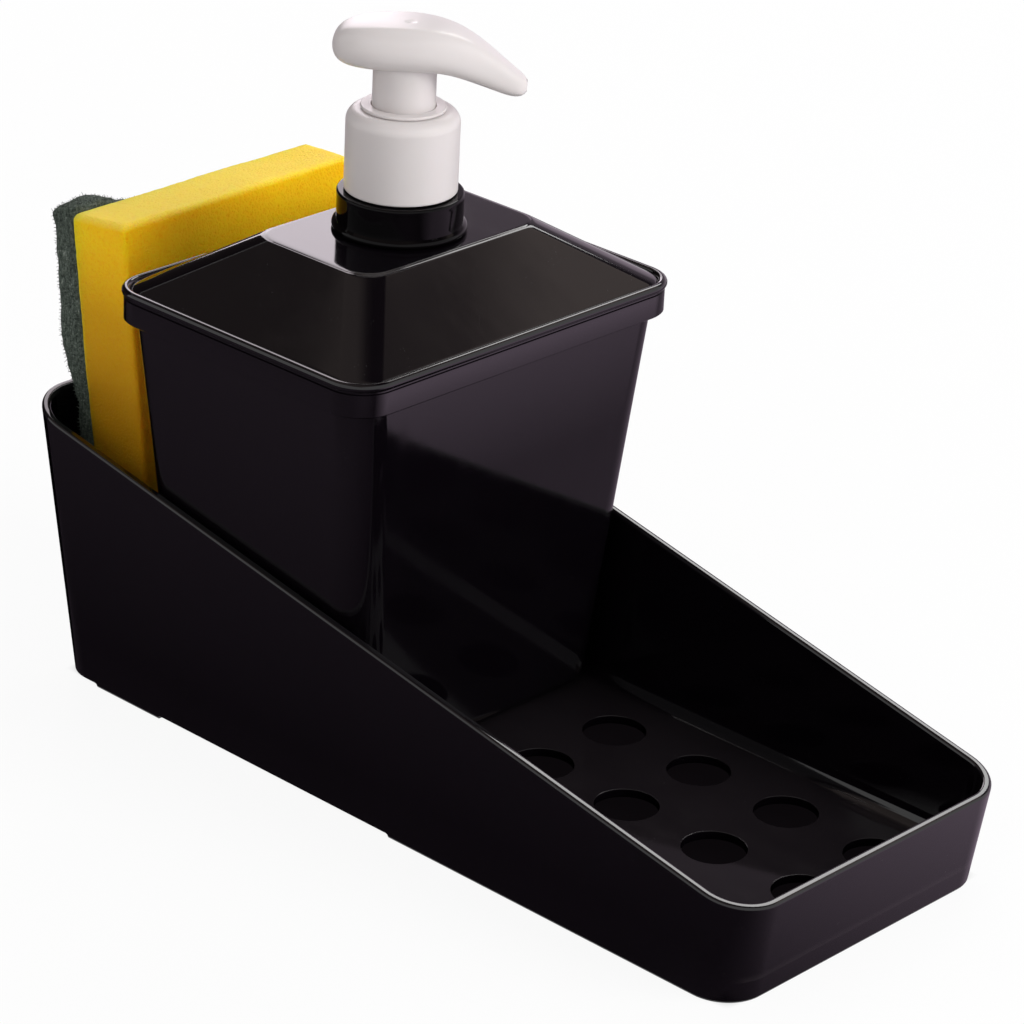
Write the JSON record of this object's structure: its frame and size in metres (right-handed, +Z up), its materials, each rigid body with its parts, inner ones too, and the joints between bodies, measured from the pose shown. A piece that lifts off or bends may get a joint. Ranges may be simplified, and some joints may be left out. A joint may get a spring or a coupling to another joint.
{
  "type": "soap pump caddy",
  "caption": "Sloping tray that holds a lidded soap container with a press pump, with an open bay with drain holes in front and a sponge standing in the slot behind.",
  "frame": {"origin": "middle of the object's footprint box, on the surface that it stands on", "axes": "+X points along the tray to its low front end, +Z is up, and the tray's long middle line is the X axis"},
  "size_m": [0.2451, 0.1114, 0.1829],
  "materials": {
    "black_shell": "glossy moulded, with soft reflections",
    "black_ring": "glossy moulded",
    "white_gloss": "glossy moulded, warm white",
    "white_inner": "satin moulded, natural",
    "seal": "matte",
    "soft_seal": "satin, soft",
    "steel": "bright drawn steel",
    "clear_tube": "milky, half clear",
    "foam": "open-cell foam, matte",
    "scouring_fibre": "tangled nonwoven fibre, matte"
  },
  "bodies": {
    "tray": {"tray": "black_shell"},
    "container": {"container": "black_shell"},
    "lid": {"lid": "black_shell", "neck_ring": "black_ring"},
    "pump": {"pump_housing": "white_inner", "chaplet": "white_gloss", "gasket": "seal", "return_spring": "steel", "dip_tube": "clear_tube"},
    "closure": {"closure": "white_gloss"},
    "piston": {"piston": "soft_seal"},
    "head": {"pump_head": "white_gloss", "stem": "white_inner", "piston_rod": "white_inner"},
    "ball": {"inlet_ball": "steel"},
    "sponge": {"sponge_foam": "foam", "scouring_pad": "scouring_fibre"}
  },
  "joints": [
    {"name": "container_lift", "type": "slide", "parent": "tray", "child": "container", "axis": [0, 0, 1], "range_m": [0, 0.08]},
    {"name": "lid_lift", "type": "slide", "parent": "container", "child": "lid", "axis": [0, 0, 1], "range_m": [0, 0.11]},
    {"name": "pump_lift", "type": "slide", "parent": "lid", "child": "pump", "axis": [0, 0, 1], "range_m": [0, 0.0048]},
    {"name": "closure_turn", "type": "hinge", "parent": "pump", "child": "closure", "pos_m": [-0.03858, 0, 0.15], "axis": [0, 0, 1], "range_deg": [0, 540]},
    {"name": "head_press", "type": "slide", "parent": "pump", "child": "piston", "axis": [0, 0, -1], "range_m": [0, 0.0085], "stiffness_N_per_m": 500, "springref_m": -0.006, "deforming": ["return_spring"]},
    {"name": "head_turn", "type": "hinge", "parent": "piston", "child": "head", "pos_m": [-0.03858, 0, 0.175], "axis": [0, 0, 1], "continuous": true},
    {"name": "ball_lift", "type": "slide", "parent": "pump", "child": "ball", "axis": [0, 0, 1], "range_m": [0, 0.0012]},
    {"name": "sponge_lift", "type": "slide", "parent": "tray", "child": "sponge", "axis": [-0.1391, 0.0049, 0.9903], "range_m": [0, 0.1]}
  ],
  "couplings": [
    {"joint": "pump_lift", "follows": "closure_turn", "m_per_rad": 0.00050532}
  ]
}
